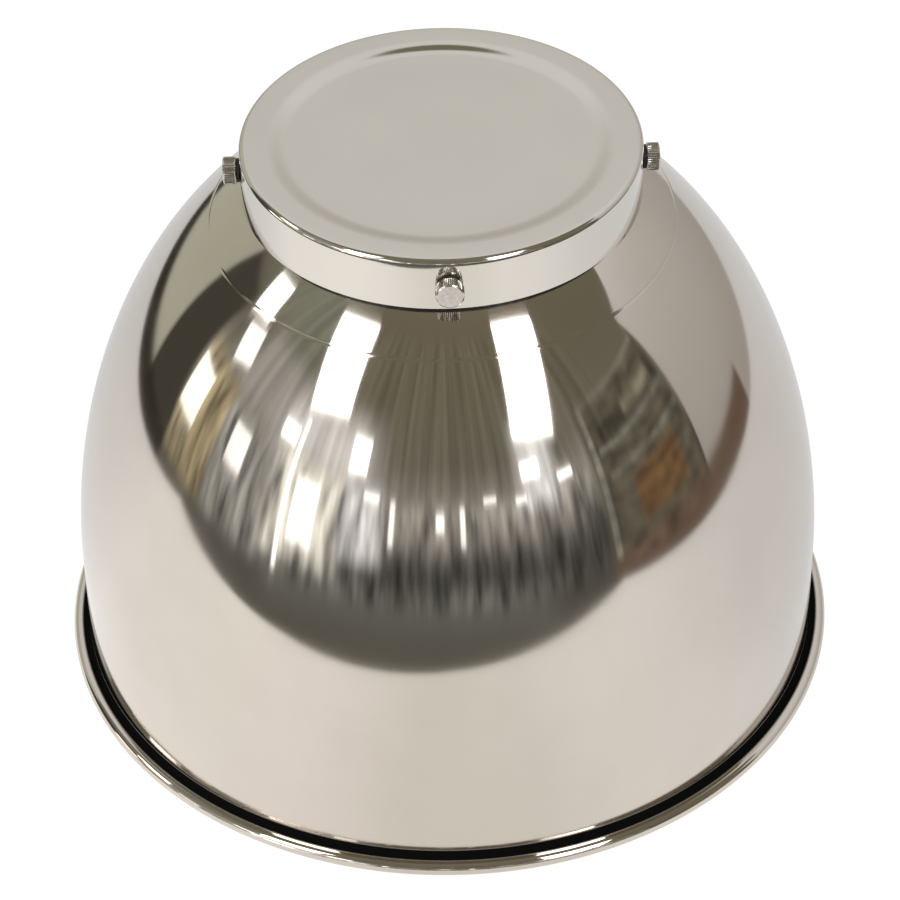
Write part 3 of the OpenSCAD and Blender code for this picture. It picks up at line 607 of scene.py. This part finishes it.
class Nodes:
    """Short ways to build a node tree."""

    def __init__(self, tree):
        self.tree = tree

    def node(self, kind, inputs=None, **settings):
        n = self.tree.nodes.new("ShaderNode" + kind)
        for key, value in settings.items():
            setattr(n, key, value)
        for key, value in (inputs or {}).items():
            if isinstance(value, bpy.types.NodeSocket):
                self.tree.links.new(value, n.inputs[key])
            else:
                n.inputs[key].default_value = value
        return n

    def calc(self, operation, *values):
        return self.node("Math", dict(enumerate(values)), operation=operation).outputs[0]

    def window(self, value, low, high, soft):
        """1 between low and high, with soft edges."""
        ends = []
        for start, end in ((low - soft, low + soft), (high + soft, high - soft)):
            step = self.node("MapRange", {0: value, 1: start, 2: end},
                             interpolation_type="SMOOTHSTEP")
            ends.append(step.outputs[0])
        return self.calc("MULTIPLY", *ends)

    def mix(self, share, a, b):
        """The colour a where share is 0, and b where it is 1."""
        a, b = (v if isinstance(v, bpy.types.NodeSocket) else (*v, 1) for v in (a, b))
        return self.node("Mix", {0: share, 6: a, 7: b}, data_type="RGBA").outputs[2]

    def ramp(self, value, stops):
        """Colours at their own values."""
        low, high = stops[0][0], stops[-1][0]
        share = self.node("MapRange", {0: value, 1: low, 2: high}).outputs[0]
        n = self.node("ValToRGB", {0: share})
        while len(n.color_ramp.elements) < len(stops):
            n.color_ramp.elements.new(0.5)
        for e, (at, colour) in zip(n.color_ramp.elements, stops):
            e.position = (at - low) / (high - low)
            e.color = (*colour, 1)
        return n.outputs[0]

    def azimuth(self, point):
        """Degrees from the -Y axis towards +X."""
        xyz = self.node("SeparateXYZ", {0: point})
        back = self.calc("MULTIPLY", xyz.outputs[1], -1.0)
        return self.calc("DEGREES", self.calc("ARCTAN2", xyz.outputs[0], back))


class Shader(Nodes):
    """A Principled material whose detail is added node by node."""

    def __init__(self, name, colour, roughness, metallic=0.0, **sockets):
        self.material = bpy.data.materials.new(name)
        self.material.use_nodes = True
        super().__init__(self.material.node_tree)
        self.bsdf = self.tree.nodes["Principled BSDF"]
        self.colour, self.normal = colour, None
        self.put("Base Color", (*colour, 1))
        self.put("Roughness", roughness)
        self.put("Metallic", metallic)
        for socket, value in sockets.items():
            self.put(socket.replace("_", " "), value)

    def put(self, socket, value):
        self.bsdf.inputs[socket].default_value = value

    def link(self, value, socket):
        self.tree.links.new(value, self.bsdf.inputs[socket])

    def object_point(self):
        return self.node("TexCoord").outputs["Object"]

    def turned_point(self, round_axis):
        """(distance from the axis, height, angle times round_axis), for detail in rings round Z."""
        xyz = self.node("SeparateXYZ", {0: self.object_point()})
        flat = self.node("CombineXYZ", {0: xyz.outputs[0], 1: xyz.outputs[1]})
        length = self.node("VectorMath", {0: flat.outputs[0]}, operation="LENGTH").outputs["Value"]
        angle = self.calc("ARCTAN2", xyz.outputs[1], xyz.outputs[0])
        turn = self.calc("MULTIPLY", angle, round_axis)
        return self.node("CombineXYZ", {0: length, 1: xyz.outputs[2], 2: turn}).outputs[0]

    def noise(self, scale, point=None, detail=3.0):
        point = point or self.object_point()
        inputs = {"Vector": point, "Scale": scale, "Detail": detail, "Roughness": 0.55}
        return self.node("TexNoise", inputs).outputs[0]

    def spread(self, value, low, high, edge=(0.3, 0.7)):
        """low to high, as the value goes from one end of edge to the other."""
        return self.node("MapRange", {0: value, 1: edge[0], 2: edge[1], 3: low, 4: high}).outputs[0]

    def vary_roughness(self, scale, low, high, point=None):
        self.link(self.spread(self.noise(scale, point), low, high), "Roughness")
        return self

    def vary_colour(self, other, scale, point=None, edge=(0.3, 0.7), detail=3.0):
        share = self.spread(self.noise(scale, point, detail), 0, 1, edge)
        self.link(self.mix(share, self.colour, other), "Base Color")
        return self

    def fade_to(self, colour, share, roughness):
        """Covers the finish with a dull one where share is 1."""
        for socket, plain in (("Base Color", (*colour, 1)), ("Roughness", roughness)):
            under = self.bsdf.inputs[socket]
            kind, first = ("RGBA", 6) if socket == "Base Color" else ("FLOAT", 2)
            mix = self.node("Mix", {0: share}, data_type=kind)
            if under.is_linked:
                self.tree.links.new(under.links[0].from_socket, mix.inputs[first])
            else:
                mix.inputs[first].default_value = under.default_value
            mix.inputs[first + 1].default_value = plain
            self.tree.links.new(mix.outputs[2 if kind == "RGBA" else 0], under)
        return self

    def bump(self, scale, depth, point=None, strength=1.0, detail=3.0):
        """Relief of this depth in metres, on top of any added before."""
        height = self.noise(scale, point, detail)
        inputs = {"Height": height, "Strength": strength, "Distance": depth}
        if self.normal:
            inputs["Normal"] = self.normal
        self.normal = self.node("Bump", inputs).outputs[0]
        self.link(self.normal, "Normal")
        return self

    def round_grain(self, anisotropy):
        """Polishing marks that run round the Z axis, which draw reflections out up and down."""
        self.put("Anisotropic", anisotropy)
        self.put("Anisotropic Rotation", 0.25)
        self.link(self.node("Tangent", direction_type="RADIAL", axis="Z").outputs[0], "Tangent")
        return self


# Painted shade: the crease between wall and bead is painted matte black, in place of the shadow and
# dark reflection in the deep groove there. Each pair is an edge, which goes from clean to black
# over that distance
CREASE_INSIDE = (WALL_R - 0.5 * MM, WALL_R - 0.2 * MM)
CREASE_OUTSIDE = (RIM_R - BEAD_R - 1.0 * MM, RIM_R - BEAD_R - 0.3 * MM)
CREASE_FOOT = (4.0 * MM, 4.3 * MM)
CREASE_TOP = (6.45 * MM, 7.0 * MM)
CREASE_SHADE_PAINT = (0.006, 0.006, 0.006)


def shade_steel():
    """Mirror polish, finished on the spinning lathe, so its faint marks run round the dome."""
    s = Shader("shade_steel", (0.67, 0.615, 0.56), 0.07, 1.0).round_grain(0.9)
    rings = s.turned_point(0.0004)
    s.vary_colour((0.64, 0.585, 0.53), 34, edge=(0.35, 0.75))
    s.vary_roughness(60, 0.055, 0.085, s.turned_point(0.02))
    s.bump(1400, 0.0000010, rings, 0.5)
    s.bump(9, 0.00020, None, 0.1, 1.0)
    # Painted shade: a black band in the crease above the bead, standing in for the groove's shadow
    radius, height, _ = s.node("SeparateXYZ", {0: s.turned_point(0.0)}).outputs
    crease = s.spread(radius, 0, 1, CREASE_INSIDE)
    for share in (s.spread(radius, 1, 0, CREASE_OUTSIDE), s.spread(height, 1, 0, CREASE_TOP),
                  s.spread(height, 0, 1, CREASE_FOOT)):
        crease = s.calc("MULTIPLY", crease, share)
    s.fade_to(CREASE_SHADE_PAINT, crease, 0.6)
    # The painted shade is made matte: no specular, and no metal where it lies
    s.put("Specular IOR Level", 0.0)
    s.link(s.calc("SUBTRACT", 1.0, crease), "Metallic")
    return s


def cap_steel():
    """The flat top is satin, and the skirt and edge are polished."""
    s = Shader("cap_steel", (0.73, 0.69, 0.635), 0.2, 1.0)
    up = s.node("SeparateXYZ", {0: s.node("NewGeometry").outputs["Normal"]}).outputs[2]
    flat = s.spread(up, 0, 1, (0.965, 0.994))
    grain = s.spread(s.noise(90, s.turned_point(0.002)), -0.03, 0.04)
    satin = s.calc("ADD", grain, 0.2)
    s.link(s.node("Mix", {0: flat, 2: 0.07, 3: satin}, data_type="FLOAT").outputs[0], "Roughness")
    s.vary_colour((0.70, 0.66, 0.61), 22, edge=(0.3, 0.75))
    s.bump(900, 0.000002, s.turned_point(0.0005), 0.5)
    return s


def screw_steel():
    s = Shader("screw_steel", (0.70, 0.66, 0.62), 0.16, 1.0)
    s.vary_colour((0.62, 0.59, 0.56), 700)
    return s.vary_roughness(900, 0.11, 0.22).bump(2500, 0.000004)


def zinc_plate():
    s = Shader("zinc_plate", (0.60, 0.62, 0.64), 0.35, 1.0)
    s.vary_colour((0.52, 0.54, 0.55), 130)
    return s.vary_roughness(240, 0.26, 0.42).bump(700, 0.000012)


def zinc_steel():
    s = Shader("zinc_steel", (0.64, 0.66, 0.68), 0.26, 1.0)
    s.vary_colour((0.52, 0.53, 0.54), 400)
    return s.vary_roughness(500, 0.2, 0.36).bump(1600, 0.00001)


def yellow_metal(name, colour, worn, roughness):
    s = Shader(name, colour, roughness, 1.0)
    s.vary_colour(worn, 260)
    return s.vary_roughness(420, roughness * 0.75, roughness * 1.35).bump(1300, 0.000008)


def brass():
    return yellow_metal("brass", (0.78, 0.58, 0.27), (0.62, 0.44, 0.20), 0.3)


def nickel_brass():
    return yellow_metal("nickel_brass", (0.74, 0.70, 0.60), (0.66, 0.58, 0.42), 0.24)


def spring_bronze():
    return yellow_metal("spring_bronze", (0.70, 0.46, 0.26), (0.56, 0.36, 0.20), 0.28)


def tinned_copper():
    return yellow_metal("tinned_copper", (0.72, 0.71, 0.68), (0.66, 0.60, 0.52), 0.34)


def porcelain():
    """Glaze over a slightly uneven body."""
    s = Shader("porcelain", (0.84, 0.82, 0.77), 0.16, Coat_Weight=0.6, Coat_Roughness=0.05, IOR=1.5)
    s.vary_colour((0.78, 0.75, 0.68), 300, edge=(0.45, 0.8))
    return s.vary_roughness(150, 0.12, 0.24).bump(90, 0.00006, None, 0.35)


def steatite():
    s = Shader("steatite", (0.74, 0.70, 0.60), 0.62)
    s.vary_colour((0.66, 0.61, 0.50), 500)
    return s.vary_roughness(800, 0.52, 0.72).bump(1800, 0.00002)


def dark_rubber(name, level):
    s = Shader(name, (level, level, level), 0.55)
    s.vary_colour((level * 1.9, level * 1.85, level * 1.8), 260, edge=(0.4, 0.85))
    return s.vary_roughness(500, 0.45, 0.7).bump(1500, 0.00003)


def black_silicone():
    return dark_rubber("black_silicone", 0.018)


def black_rubber():
    return dark_rubber("black_rubber", 0.022)


def black_nylon():
    return dark_rubber("black_nylon", 0.014)


def insulation(name, colour, faded):
    s = Shader(name, colour, 0.42, Sheen_Weight=0.1)
    return s.vary_colour(faded, 350).vary_roughness(500, 0.34, 0.52).bump(900, 0.00002)


def brown_insulation():
    return insulation("brown_insulation", (0.16, 0.055, 0.02), (0.22, 0.09, 0.04))


def blue_insulation():
    return insulation("blue_insulation", (0.03, 0.12, 0.42), (0.06, 0.18, 0.5))


def green_insulation():
    """Green with yellow stripes along the lead."""
    s = Shader("green_insulation", (0.05, 0.3, 0.06), 0.42)
    wave = {"Vector": s.object_point(), "Scale": 160.0, "Distortion": 0.4}
    stripe = s.node("TexWave", wave, bands_direction="Z").outputs[1]
    band = s.spread(stripe, 0, 1, (0.42, 0.58))
    s.link(s.mix(band, s.colour, (0.75, 0.62, 0.04)), "Base Color")
    return s.vary_roughness(500, 0.34, 0.52).bump(900, 0.00002)


def silvered_glass():
    """Aluminium behind smooth pressed glass."""
    s = Shader("silvered_glass", (0.84, 0.84, 0.85), 0.12, 1.0, Coat_Weight=1.0,
               Coat_Roughness=0.03)
    s.vary_colour((0.76, 0.76, 0.77), 60)
    return s.vary_roughness(110, 0.08, 0.18).bump(40, 0.0002, None, 0.25)


def ruby_glass():
    s = Shader("ruby_glass", (0.46, 0.008, 0.008), 0.06, IOR=1.52, Transmission_Weight=0.25,
               Coat_Weight=1.0, Coat_Roughness=0.03)
    s.vary_colour((0.34, 0.005, 0.006), 60)
    return s.vary_roughness(120, 0.04, 0.1).bump(220, 0.00003, None, 0.3)


def clear_glass():
    s = Shader("clear_glass", (0.86, 0.9, 0.88), 0.05, IOR=1.5, Transmission_Weight=0.9)
    return s.vary_roughness(200, 0.03, 0.1).bump(150, 0.00004, None, 0.4)


def black_glass():
    s = Shader("black_glass", (0.012, 0.012, 0.015), 0.14, Coat_Weight=0.5)
    return s.vary_colour((0.03, 0.03, 0.034), 300).vary_roughness(300, 0.1, 0.22).bump(200, 0.00004)


def solder():
    s = Shader("solder", (0.6, 0.6, 0.6), 0.34, 1.0)
    return s.vary_colour((0.46, 0.46, 0.47), 900).vary_roughness(700, 0.26, 0.46).bump(500, 0.00005)


def wire(name, colour, roughness):
    s = Shader(name, colour, roughness, 1.0)
    s.vary_colour(tuple(c * 0.8 for c in colour), 900)
    return s.vary_roughness(900, roughness * 0.8, roughness * 1.3).bump(3000, 0.000006)


def nickel_wire():
    return wire("nickel_wire", (0.58, 0.55, 0.52), 0.3)


def tungsten():
    return wire("tungsten", (0.2, 0.2, 0.21), 0.42)


MAKERS = (
    shade_steel, cap_steel, screw_steel, zinc_plate, zinc_steel, brass, nickel_brass, spring_bronze,
    tinned_copper, porcelain, steatite, black_silicone, black_rubber, black_nylon,
    brown_insulation, blue_insulation, green_insulation, silvered_glass, ruby_glass, clear_glass,
    black_glass, solder, nickel_wire, tungsten,
)


def give_materials():
    made = {maker.__name__: maker().material for maker in MAKERS}
    for row in frame["record"]["subparts"]:
        slot_of[frame["nodes"][row["node"]].name] = row["material_slot"]
    for name, slot in slot_of.items():
        data = bpy.data.objects[name].data
        data.materials.clear()
        data.materials.append(made[slot])


# ---- Camera ----

# Azimuths are in degrees from the -Y axis towards +X, and elevations in degrees above the floor.

def direction(azimuth, elevation):
    a, e = math.radians(azimuth), math.radians(elevation)
    return Vector((math.sin(a) * math.cos(e), -math.cos(a) * math.cos(e), math.sin(e)))


CAM_TARGET_Z = 67.2 * MM
CAM_DISTANCE = 1.172
CAM_ELEVATION = 40.33
CAM_AZIMUTH = -1.6
CAM_ROLL = -1.016
CAM_LENS = 145.28
CAM_SHIFT = 0.0039


def add_camera():
    out = direction(CAM_AZIMUTH, CAM_ELEVATION)
    right = direction(CAM_AZIMUTH + 90, 0)
    up = out.cross(right)
    c, s = math.cos(math.radians(CAM_ROLL)), math.sin(math.radians(CAM_ROLL))
    axes = Matrix((right * c + up * s, up * c - right * s, out)).transposed()
    data = bpy.data.cameras.new("camera")
    data.lens = CAM_LENS
    data.shift_x = CAM_SHIFT
    data.clip_end = 50
    camera = bpy.data.objects.new("camera", data)
    bpy.context.scene.collection.objects.link(camera)
    stand = Vector((0, 0, CAM_TARGET_Z)) + out * CAM_DISTANCE
    camera.matrix_world = Matrix.Translation(stand) @ axes.to_4x4()
    bpy.context.scene.camera = camera


# ---- Floor, light and surroundings ----

FLOOR_OUTLINE = ((-0.66, -0.07), (-0.24, -0.26), (0, -0.335), (0.28, -0.395), (0.45, -0.43),
                 (0.57, 0.03), (0.62, 0.9), (-0.3, 0.9))
# What the floor sends up, by azimuth: it is dimmest where whoever looks at the object shades it
FLOOR_TINTS = (
    (-180, (0.58, 0.58, 0.59)),
    (-135, (0.59, 0.60, 0.61)),
    (-110, (0.72, 0.72, 0.73)),
    (-90, (0.88, 0.88, 0.87)),
    (-50, (0.93, 0.92, 0.90)),
    (-30, (0.89, 0.87, 0.86)),
    (-8, (0.75, 0.74, 0.71)),
    (15, (0.76, 0.76, 0.73)),
    (30, (0.83, 0.83, 0.81)),
    (50, (0.80, 0.80, 0.80)),
    (75, (0.68, 0.69, 0.70)),
    (105, (0.62, 0.63, 0.64)),
    (135, (0.60, 0.61, 0.63)),
    (180, (0.58, 0.58, 0.59)),
)

# Softboxes: azimuth, elevation, width, height and turn in degrees, and radiance
SOFTBOXES = (
    (-52, 45, 14, 27, 15, 5.0),
    (36, 45, 14, 33, -17, 5.0),
    (-98.5, 36.5, 9, 11, 25, 4.0),
    (-90, 26, 8, 9, 25, 2.2),
    (-58.5, 21.5, 6, 4, 0, 3.0),
    (-32, 25, 6, 9, 0, 2.2),
    (26.5, 21.3, 6, 4, 0, 3.0),
    (37.7, 17, 5, 2, 0, 2.6),
    (12, 16.5, 4, 1.4, 0, 2.0),
    (22, 15, 3.5, 1.4, 0, 2.0),
    (-26, 16, 5, 2, 0, 1.6),
    (-19, 11, 1.5, 10, 0, 1.6),
    (-4, 12, 2.5, 4, 0, 1.8),
    (3, 11, 1.5, 9, 0, 1.5),
    (-97, 7, 9, 12, 0, 1.6),
    (-74, 9, 7, 9, 0, 1.5),
    (-47, 7, 8, 14, 0, 1.5),
    (-53.5, 10, 1.4, 34, 0, 1.8),
)
BOX_DISTANCE = 3.0

# The dim hall in front of the object, by elevation
HALL = (
    (-90, (0.17, 0.16, 0.13)),
    (-20, (0.14, 0.135, 0.11)),
    (-10, (0.11, 0.105, 0.09)),
    (-5, (0.075, 0.075, 0.07)),
    (-1, (0.06, 0.06, 0.06)),
    (3, (0.10, 0.098, 0.095)),
    (8, (0.28, 0.27, 0.25)),
    (14, (0.36, 0.36, 0.33)),
    (19, (0.26, 0.25, 0.22)),
    (25, (0.19, 0.18, 0.145)),
    (45, (0.18, 0.17, 0.12)),
    (64, (0.20, 0.18, 0.13)),
    (90, (0.24, 0.22, 0.17)),
)
# The pale walls beside and behind it
WALLS = (
    (-90, (0.42, 0.40, 0.37)),
    (-10, (0.44, 0.41, 0.38)),
    (0, (0.50, 0.48, 0.45)),
    (25, (0.62, 0.61, 0.575)),
    (44, (0.79, 0.79, 0.78)),
    (90, (0.80, 0.79, 0.78)),
)
# Plain panels in front of them: azimuths, elevations, softness of the edges, and colour
PANELS = (
    (-135, -60, 36, 62, 6, (0.24, 0.25, 0.20)),
    (-86, -64, 18, 36, 4, (0.40, 0.40, 0.37)),
    (-64, -28, 15, 32, 8, (0.85, 0.85, 0.85)),
    (23, 35, 12, 34, 3, (0.95, 0.98, 1.0)),
    (-103, -83, -8, 18, 2, (0.37, 0.32, 0.20)),
    (-83, -60, -8, 15, 2, (0.33, 0.33, 0.31)),
    (-60, -36, -5, 19, 2, (0.85, 0.85, 0.78)),
    (-36, -23, 1, 18, 3, (0.75, 0.77, 0.80)),
    (-58, 30, -13, -4, 5, (0.165, 0.17, 0.16)),
    (48, 86, -7, 30, 1.5, (0.13, 0.12, 0.09)),
    (50, 85, 28, 29.3, 0.6, (0.34, 0.34, 0.28)),
    (49, 51, -7, 29, 0.5, (0.30, 0.30, 0.26)),
    (52, 85, 15.5, 17, 0.5, (0.30, 0.30, 0.26)),
    (54, 85, 17, 22, 0.8, (0.07, 0.065, 0.05)),
    (66, 82, 19, 22, 1, (0.33, 0.31, 0.24)),
    (53, 85, 9, 10.5, 0.5, (0.24, 0.24, 0.20)),
    (60, 79, -3, 7, 1, (0.20, 0.12, 0.06)),
    (55, 66, -9.5, -7, 0.6, (0.55, 0.50, 0.42)),
    (48, 113, -14, -6, 1, (0.16, 0.11, 0.08)),
    (-165, -103, -14, -7, 1, (0.035, 0.03, 0.022)),
    (-160, -121, -7, 32, 2, (0.53, 0.54, 0.44)),
    (-121, -104, -7, 31, 1.5, (0.075, 0.07, 0.055)),
)
# Where the hall's opening ends at each side: two elevations and the azimuths that it has there
LEFT_EDGE = (30.0, 46.0, -120.5, -142.5)
RIGHT_EDGE = (34.0, 60.0, 86.5, 136.5)
HALL_OVERHEAD = 62.0
# Blotches over the far end, the shelves and the ceiling: azimuths with their softness, elevations
# with theirs, and then blotches to the degree across and up, and their least and greatest gain
CLUTTER = (
    ((-104.0, 47.0, 2.0, -7.0, 16.0, 3.0), (0.33, 0.06, 0.25, 2.1)),
    ((49.0, 85.0, 1.0, -9.0, 28.0, 1.5), (0.15, 0.5, 0.5, 1.6)),
    ((-100.0, 60.0, 8.0, 16.0, 60.0, 4.0), (0.4, 0.012, 0.75, 1.35)),
)
SEEN_FLOOR = (0.92, 0.91, 0.90)
SEEN_BACKDROP = (1.0, 1.0, 1.0)


def add_floor():
    """A pale floor, which isn't seen from below."""
    corners = [(x, y, 0) for x, y in FLOOR_OUTLINE]
    floor = mesh_object("floor", corners, [list(range(len(corners)))])
    s = Shader("floor", (0.2, 0.197, 0.193), 0.9, Emission_Strength=1.0)
    tint = s.ramp(s.azimuth(s.object_point()), FLOOR_TINTS)
    seen = s.node("LightPath").outputs["Is Camera Ray"]
    s.link(s.mix(seen, tint, SEEN_FLOOR), "Emission Color")
    clear = s.node("BsdfTransparent").outputs[0]
    under = s.node("NewGeometry").outputs["Backfacing"]
    both = s.node("MixShader", {0: under, 1: s.bsdf.outputs[0], 2: clear}).outputs[0]
    s.tree.links.new(both, s.tree.nodes["Material Output"].inputs["Surface"])
    floor.data.materials.append(s.material)


def add_softboxes():
    middle = Vector((0, 0, 0.1))
    for n, (azimuth, elevation, wide, high, turn, level) in enumerate(SOFTBOXES):
        out = direction(azimuth, elevation)
        data = bpy.data.lights.new(f"softbox_{n + 1}", "AREA")
        data.shape = "RECTANGLE"
        data.size = 2 * BOX_DISTANCE * math.tan(math.radians(wide / 2))
        data.size_y = 2 * BOX_DISTANCE * math.tan(math.radians(high / 2))
        data.energy = level * math.pi * data.size * data.size_y
        box = bpy.data.objects.new(data.name, data)
        bpy.context.scene.collection.objects.link(box)
        box.rotation_mode = "QUATERNION"
        spin = Matrix.Rotation(math.radians(turn), 3, "Z").to_quaternion()
        box.rotation_quaternion = out.to_track_quat("Z", "Y") @ spin
        box.location = middle + out * BOX_DISTANCE
        box.visible_camera = False


def add_surroundings():
    """Pale walls behind and beside the object, and a dim hall with a busy far end in front of it.
    The camera itself sees plain white."""
    world = bpy.data.worlds.new("studio")
    bpy.context.scene.world = world
    world.use_nodes = True
    t = Nodes(world.node_tree)
    sky = t.node("TexCoord").outputs["Generated"]
    azimuth = t.azimuth(sky)
    elevation = t.calc("DEGREES", t.calc("ARCSINE", t.node("SeparateXYZ", {0: sky}).outputs[2]))

    right, left = (t.node("MapRange", {0: elevation, **dict(enumerate(edge, 1))}).outputs[0]
                   for edge in (RIGHT_EDGE, LEFT_EDGE))
    in_front = t.calc("MULTIPLY", t.calc("LESS_THAN", azimuth, right),
                      t.calc("GREATER_THAN", azimuth, left))
    in_front = t.calc("MAXIMUM", in_front, t.window(elevation, HALL_OVERHEAD, 200.0, 2.0))
    room = t.mix(in_front, t.ramp(elevation, WALLS), t.ramp(elevation, HALL))
    for az_low, az_high, el_low, el_high, soft, colour in PANELS:
        across = t.window(azimuth, az_low, az_high, soft)
        up = t.window(elevation, el_low, el_high, soft)
        room = t.mix(t.calc("MULTIPLY", across, up), room, colour)

    for spot, (across, up, low, high) in CLUTTER:
        az_low, az_high, az_soft, el_low, el_high, el_soft = spot
        share = t.calc("MULTIPLY", t.window(elevation, el_low, el_high, el_soft),
                       t.window(azimuth, az_low, az_high, az_soft))
        point = t.node("CombineXYZ", {0: t.calc("MULTIPLY", azimuth, across),
                                      1: t.calc("MULTIPLY", elevation, up)}).outputs[0]
        blotches = t.node("TexNoise", {"Vector": point, "Scale": 1.0, "Detail": 3.0}).outputs[0]
        gain = t.node("MapRange", {0: blotches, 1: 0.33, 2: 0.68, 3: low, 4: high}).outputs[0]
        gain = t.calc("ADD", t.calc("MULTIPLY", t.calc("SUBTRACT", gain, 1.0), share), 1.0)
        room = t.node("VectorMath", {0: room, "Scale": gain}, operation="SCALE").outputs[0]
    seen = t.node("LightPath").outputs["Is Camera Ray"]
    backdrop = t.tree.nodes["Background"].inputs["Color"]
    t.tree.links.new(t.mix(seen, room, SEEN_BACKDROP), backdrop)


# ---- Make everything ----

add_camera()
make_shade()
make_cap()
for screw in range(GALLERY):
    make_screw(screw)
make_grommet()
make_gasket()
make_leads()
make_shell()
make_bulb_glass()
make_bulb_front()
make_bulb_base()
give_materials()
add_floor()
add_softboxes()
add_surroundings()
bpy.context.scene.view_settings.view_transform = "Standard"
